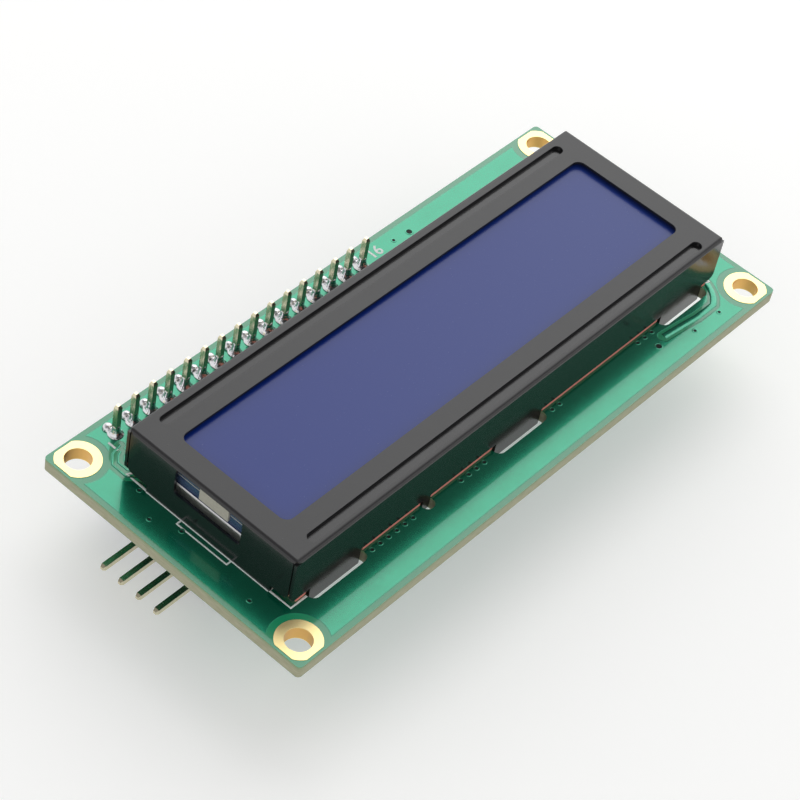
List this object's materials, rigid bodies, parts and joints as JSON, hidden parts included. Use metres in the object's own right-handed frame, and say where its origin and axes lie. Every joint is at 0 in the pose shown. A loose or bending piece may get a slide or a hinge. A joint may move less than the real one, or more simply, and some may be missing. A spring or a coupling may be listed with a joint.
{
  "type": "character lcd module",
  "caption": "Character display with a blue window in a black pressed-steel bezel on a green board, and a serial adapter board soldered behind its pin row.",
  "frame": {"origin": "centre of the four corner mounting holes, on the front face of the main board", "axes": "+Z out of the display, +X along the board's length away from the bus pins, +Y towards the edge with the pin row"},
  "size_m": [0.0814, 0.036, 0.0176],
  "materials": {
    "board_mask": "glossy green solder mask on glass-epoxy laminate",
    "gold_plating": "gold plated copper, satin",
    "bezel_paint": "black painted steel sheet, satin face and glossy walls",
    "polarizer_film": "smooth blue film",
    "display_glass": "polished glass with a blue filter tone",
    "cell_epoxy": "cured sealing epoxy",
    "contact_rubber": "soft pink contact strip, matte",
    "backlight_white": "white moulded frame",
    "guide_acrylic": "clear polished acrylic",
    "film_white": "white film",
    "lamp_laminate": "pale glass-epoxy strip",
    "lamp_package": "lamp moulding with pale yellow gel",
    "tinned_metal": "bright tin and solder",
    "potting": "black domed epoxy, semi-gloss",
    "resistor_black": "black glazed top",
    "ceramic_tan": "tan ceramic",
    "pin_metal": "plated square pins, bright",
    "header_plastic": "black moulded nylon",
    "adapter_mask": "glossy blue solder mask on glass-epoxy laminate",
    "chip_epoxy": "black moulded epoxy, fine matte",
    "trimmer_blue": "blue moulded plastic",
    "rotor_white": "white moulded plastic",
    "lamp_red": "red tinted lamp body"
  },
  "bodies": {
    "module": {"main_board": "board_mask", "hole_plating": "gold_plating", "bezel": "bezel_paint", "front_polarizer": "polarizer_film", "front_glass": "display_glass", "cell_seal": "cell_epoxy", "fill_port_seal": "cell_epoxy", "rear_glass": "display_glass", "rear_polarizer": "polarizer_film", "contact_strips": "contact_rubber", "backlight_frame": "backlight_white", "diffuser": "film_white", "light_guide": "guide_acrylic", "reflector": "film_white", "lamp_strip": "lamp_laminate", "lamps": "lamp_package", "lamp_leads": "tinned_metal", "driver_blobs": "potting", "board_resistors": "resistor_black", "board_capacitors": "ceramic_tan", "board_chip_ends": "tinned_metal", "header_pins": "pin_metal", "header_spacer": "header_plastic", "front_joints": "tinned_metal", "rear_joints": "tinned_metal", "adapter_board": "adapter_mask", "expander_chip": "chip_epoxy", "expander_leads": "tinned_metal", "trimmer_body": "trimmer_blue", "trimmer_leads": "tinned_metal", "bus_header": "header_plastic", "bus_pins": "pin_metal", "jumper_header": "header_plastic", "jumper_pins": "pin_metal", "adapter_joints": "tinned_metal", "transistor": "chip_epoxy", "transistor_leads": "tinned_metal", "power_lamp": "lamp_red", "adapter_resistors": "resistor_black", "adapter_capacitors": "ceramic_tan", "adapter_chip_ends": "tinned_metal"},
    "rotor": {"trimmer_rotor": "rotor_white"},
    "jumper": {"jumper_cap": "header_plastic", "jumper_clip": "tinned_metal"}
  },
  "joints": [
    {"name": "rotor_turn", "type": "hinge", "parent": "module", "child": "rotor", "pos_m": [-0.0033, 0.006, -0.0107], "axis": [0, 0, -1], "range_deg": [-120, 120]},
    {"name": "jumper_pull", "type": "slide", "parent": "module", "child": "jumper", "axis": [1, 0, 0], "range_m": [0, 0.0065]}
  ]
}
